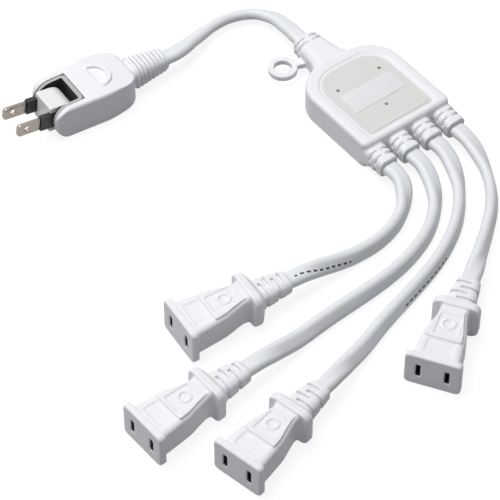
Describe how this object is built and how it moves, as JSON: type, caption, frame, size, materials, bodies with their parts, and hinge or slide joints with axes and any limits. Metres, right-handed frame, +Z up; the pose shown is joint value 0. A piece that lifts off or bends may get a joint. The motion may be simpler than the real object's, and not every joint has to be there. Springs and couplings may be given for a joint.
{
  "type": "multi-outlet extension cord",
  "caption": "Branching extension cord: flat cord with a swing-head plug, a flat moulded junction box with a hanging ring, and short flat cords that end in moulded outlets.",
  "frame": {"origin": "centre of the junction box underside, on the plane that the cord lies on", "axes": "+Z up from that plane; +Y along the box from the branch cords to the neck of the main cord; +X to the right of +Y seen from above"},
  "size_m": [0.2236, 0.25, 0.018],
  "materials": {
    "moulded_pvc": "moulded white PVC, satin",
    "cord_pvc": "extruded white PVC, satin",
    "block_plastic": "light grey moulded plastic, satin",
    "frame_plastic": "mid grey moulded plastic, satin",
    "insert_plastic": "off-white moulded plastic, matte",
    "sleeve_plastic": "black moulded plastic, satin",
    "plated_brass": "nickel-plated brass, brushed",
    "spring_brass": "bare brass strip",
    "core_black": "black core insulation",
    "core_white": "white core insulation"
  },
  "bodies": {
    "cord_set": {"box_block_lower": "block_plastic", "box_block_upper": "block_plastic", "box_busbar_live": "spring_brass", "box_busbar_neutral": "spring_brass", "box_core_live_1": "core_black", "box_core_live_2": "core_black", "box_core_live_3": "core_black", "box_core_live_4": "core_black", "box_core_live_main": "core_black", "box_core_neutral_1": "core_white", "box_core_neutral_2": "core_white", "box_core_neutral_3": "core_white", "box_core_neutral_4": "core_white", "box_core_neutral_main": "core_white", "box_overmould": "moulded_pvc", "cord_branch_1": "cord_pvc", "cord_branch_2": "cord_pvc", "cord_branch_3": "cord_pvc", "cord_branch_4": "cord_pvc", "cord_main": "cord_pvc", "outlet_1_contact_live": "spring_brass", "outlet_1_contact_neutral": "spring_brass", "outlet_1_core_live": "core_black", "outlet_1_core_neutral": "core_white", "outlet_1_insert": "insert_plastic", "outlet_1_overmould": "moulded_pvc", "outlet_2_contact_live": "spring_brass", "outlet_2_contact_neutral": "spring_brass", "outlet_2_core_live": "core_black", "outlet_2_core_neutral": "core_white", "outlet_2_insert": "insert_plastic", "outlet_2_overmould": "moulded_pvc", "outlet_3_contact_live": "spring_brass", "outlet_3_contact_neutral": "spring_brass", "outlet_3_core_live": "core_black", "outlet_3_core_neutral": "core_white", "outlet_3_insert": "insert_plastic", "outlet_3_overmould": "moulded_pvc", "outlet_4_contact_live": "spring_brass", "outlet_4_contact_neutral": "spring_brass", "outlet_4_core_live": "core_black", "outlet_4_core_neutral": "core_white", "outlet_4_insert": "insert_plastic", "outlet_4_overmould": "moulded_pvc", "plug_core_live": "core_black", "plug_core_neutral": "core_white", "plug_frame_lower": "frame_plastic", "plug_frame_upper": "frame_plastic", "plug_overmould": "moulded_pvc", "plug_spring_live": "spring_brass", "plug_spring_neutral": "spring_brass"},
    "swing_head_body": {"swing_head": "block_plastic", "blade_live": "plated_brass", "blade_neutral": "plated_brass", "blade_sleeve_live": "sleeve_plastic", "blade_sleeve_neutral": "sleeve_plastic"}
  },
  "joints": [
    {"name": "plug_swing", "type": "hinge", "parent": "cord_set", "child": "swing_head_body", "pos_m": [-0.1179, 0.0836, 0.00875], "axis": [-0.0715, -0.9974, 0], "range_deg": [-82, 98]}
  ]
}
